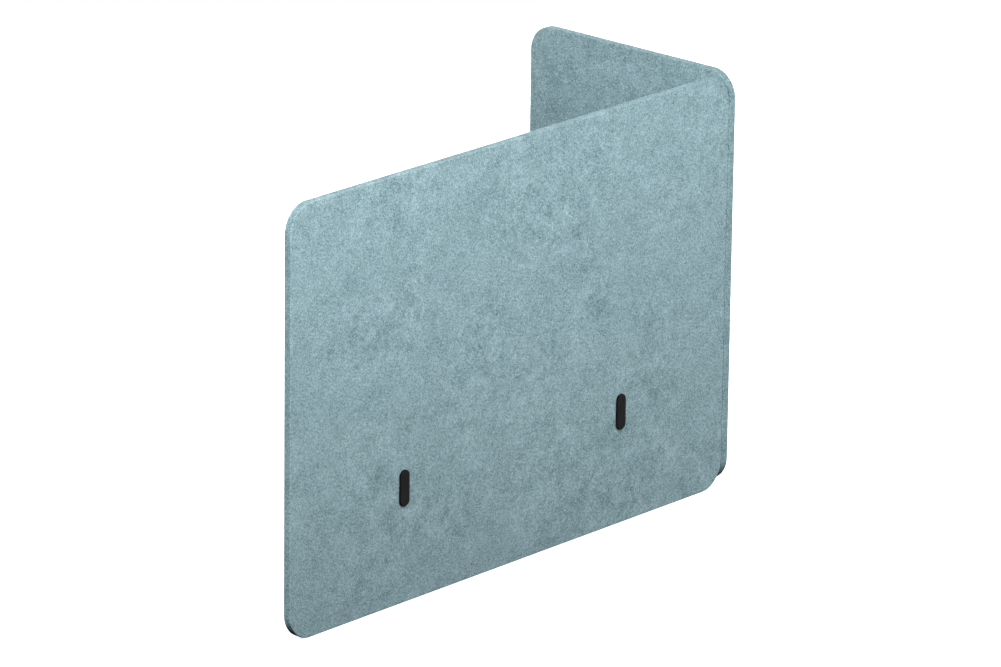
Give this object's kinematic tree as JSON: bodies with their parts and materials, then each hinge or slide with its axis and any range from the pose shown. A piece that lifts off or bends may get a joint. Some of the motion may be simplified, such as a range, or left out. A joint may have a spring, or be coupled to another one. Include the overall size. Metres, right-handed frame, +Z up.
{
  "type": "desk privacy panel",
  "caption": "L-shaped felt desk privacy panel: a long front board and a shorter return board with rounded corners, screw-clamped to a desk edge through oblong black caps.",
  "frame": {"origin": "on the floor plane, under the middle of the whole panel's box", "axes": "+X along the front board towards the corner with the return board, +Y from the front board towards the return board's far end, +Z up"},
  "size_m": [0.8854, 0.372, 0.6],
  "materials": {
    "felt": "heathered grey-blue pressed polyester felt, matt",
    "cap_plastic": "fine-grained black moulded plastic",
    "black_steel": "black powder coat, fine texture",
    "zinc_steel": "zinc-plated steel",
    "brass": "turned brass",
    "rubber": "matt black rubber",
    "knob_plastic": "satin black moulded plastic"
  },
  "bodies": {
    "panel": {"front_board": "felt", "return_board": "felt", "corner_bracket_lower": "black_steel", "corner_bracket_middle": "black_steel", "corner_bracket_upper": "black_steel", "corner_screws": "zinc_steel", "clamp_a_cap": "cap_plastic", "clamp_a_inserts": "brass", "clamp_a_fixing_screws": "zinc_steel", "clamp_a_bracket": "black_steel", "clamp_a_jaw_pad": "rubber", "clamp_a_nut": "zinc_steel", "clamp_b_cap": "cap_plastic", "clamp_b_inserts": "brass", "clamp_b_fixing_screws": "zinc_steel", "clamp_b_bracket": "black_steel", "clamp_b_jaw_pad": "rubber", "clamp_b_nut": "zinc_steel", "clamp_c_cap": "cap_plastic", "clamp_c_inserts": "brass", "clamp_c_fixing_screws": "zinc_steel", "clamp_c_bracket": "black_steel", "clamp_c_jaw_pad": "rubber", "clamp_c_nut": "zinc_steel"},
    "foot_a": {"clamp_a_foot": "zinc_steel", "clamp_a_foot_pad": "rubber"},
    "screw_a": {"clamp_a_screw": "zinc_steel", "clamp_a_knob": "knob_plastic"},
    "foot_b": {"clamp_b_foot": "zinc_steel", "clamp_b_foot_pad": "rubber"},
    "screw_b": {"clamp_b_screw": "zinc_steel", "clamp_b_knob": "knob_plastic"},
    "foot_c": {"clamp_c_foot": "zinc_steel", "clamp_c_foot_pad": "rubber"},
    "screw_c": {"clamp_c_screw": "zinc_steel", "clamp_c_knob": "knob_plastic"}
  },
  "joints": [
    {"name": "foot_a_travel", "type": "slide", "parent": "panel", "child": "foot_a", "axis": [0, 0, 1], "range_m": [0, 0.024]},
    {"name": "screw_a_turn", "type": "hinge", "parent": "foot_a", "child": "screw_a", "pos_m": [-0.2252, -0.133, 0.055], "axis": [0, 0, 1], "range_deg": [0, 6930]},
    {"name": "foot_b_travel", "type": "slide", "parent": "panel", "child": "foot_b", "axis": [0, 0, 1], "range_m": [0, 0.024]},
    {"name": "screw_b_turn", "type": "hinge", "parent": "foot_b", "child": "screw_b", "pos_m": [0.2098, -0.133, 0.055], "axis": [0, 0, 1], "range_deg": [0, 6930]},
    {"name": "foot_c_travel", "type": "slide", "parent": "panel", "child": "foot_c", "axis": [0, 0, 1], "range_m": [0, 0.024]},
    {"name": "screw_c_turn", "type": "hinge", "parent": "foot_c", "child": "screw_c", "pos_m": [0.3897, 0.001, 0.055], "axis": [0, 0, 1], "range_deg": [0, 6930]}
  ],
  "couplings": [
    {"joint": "screw_a_turn", "follows": "foot_a_travel", "rad_per_m": 5026.5},
    {"joint": "screw_b_turn", "follows": "foot_b_travel", "rad_per_m": 5026.5},
    {"joint": "screw_c_turn", "follows": "foot_c_travel", "rad_per_m": 5026.5}
  ]
}
